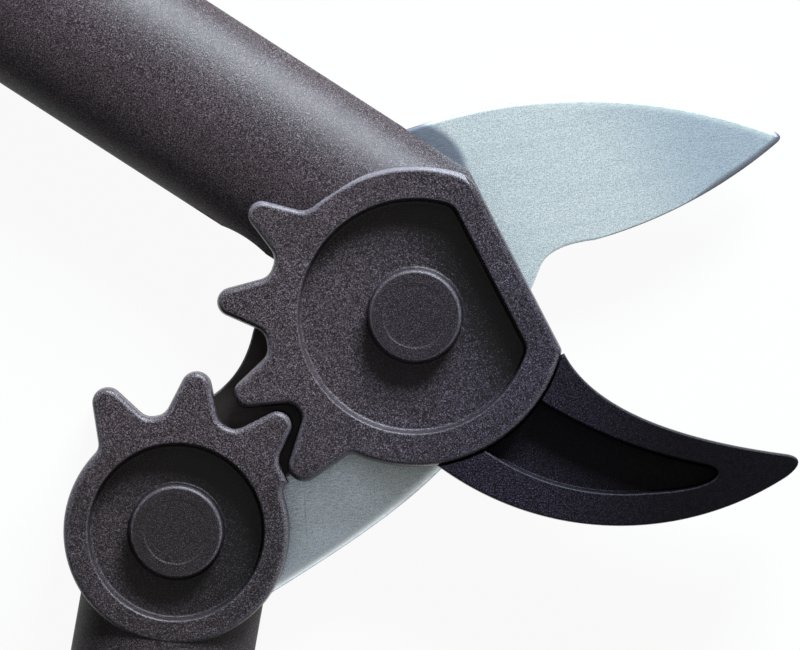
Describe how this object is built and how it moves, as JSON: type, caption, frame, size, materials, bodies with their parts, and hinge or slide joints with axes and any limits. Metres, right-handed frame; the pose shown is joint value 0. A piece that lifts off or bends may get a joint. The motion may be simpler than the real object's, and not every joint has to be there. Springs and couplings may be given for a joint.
{
  "type": "geared lopper",
  "caption": "Two-handed pruning lopper whose geared levers swing a bypass cutting blade past a fixed curved hook.",
  "frame": {"origin": "on the main pivot's axis where the tool rests on its back: the flat of the main pivot bolt's head", "axes": "+Z out of the tool's front face, +X towards the open jaws, +Y towards the cutting blade's side; the jaws are fully open"},
  "size_m": [0.5822, 0.9292, 0.032],
  "materials": {
    "handle_plastic": "charcoal glass-filled nylon with a fine spark-eroded grain",
    "grip_rubber": "soft black elastomer, satin",
    "cap_plastic": "charcoal nylon, satin",
    "hook_steel": "cast steel with a thin dark coating, faintly grained",
    "blade_steel": "hardened plate steel, finely brushed, with a ground bevel",
    "bolt_steel": "zinc-plated hexagon bolts, nuts and screws",
    "sleeve_brass": "sintered bronze bush",
    "wear_disc_plastic": "natural acetal"
  },
  "bodies": {
    "upper_lever": {"upper_handle": "handle_plastic", "upper_grip": "grip_rubber", "upper_end_cap": "cap_plastic", "hook": "hook_steel", "tang_screw_near": "bolt_steel", "tang_screw_far": "bolt_steel", "main_pivot_bolt": "bolt_steel", "main_pivot_nut": "bolt_steel", "main_pivot_washer": "bolt_steel", "main_pivot_sleeve": "sleeve_brass", "main_wear_disc": "wear_disc_plastic"},
    "cutting_blade": {"blade": "blade_steel"},
    "lower_lever": {"lower_handle": "handle_plastic", "lower_grip": "grip_rubber", "lower_end_cap": "cap_plastic", "tail_pivot_bolt": "bolt_steel", "tail_pivot_nut": "bolt_steel", "tail_pivot_washer": "bolt_steel", "tail_pivot_sleeve": "sleeve_brass", "tail_front_wear_disc": "wear_disc_plastic", "tail_rear_wear_disc": "wear_disc_plastic"}
  },
  "joints": [
    {"name": "jaw_pivot", "type": "hinge", "parent": "upper_lever", "child": "cutting_blade", "pos_m": [0, 0, 0.015], "axis": [0, 0, -1], "range_deg": [0, 47]},
    {"name": "lever_pivot", "type": "hinge", "parent": "cutting_blade", "child": "lower_lever", "pos_m": [-0.05713, -0.05162, 0.015], "axis": [0, 0, -1], "range_deg": [0, 56.4]}
  ],
  "couplings": [
    {"joint": "lever_pivot", "follows": "jaw_pivot", "ratio": 1.2}
  ]
}
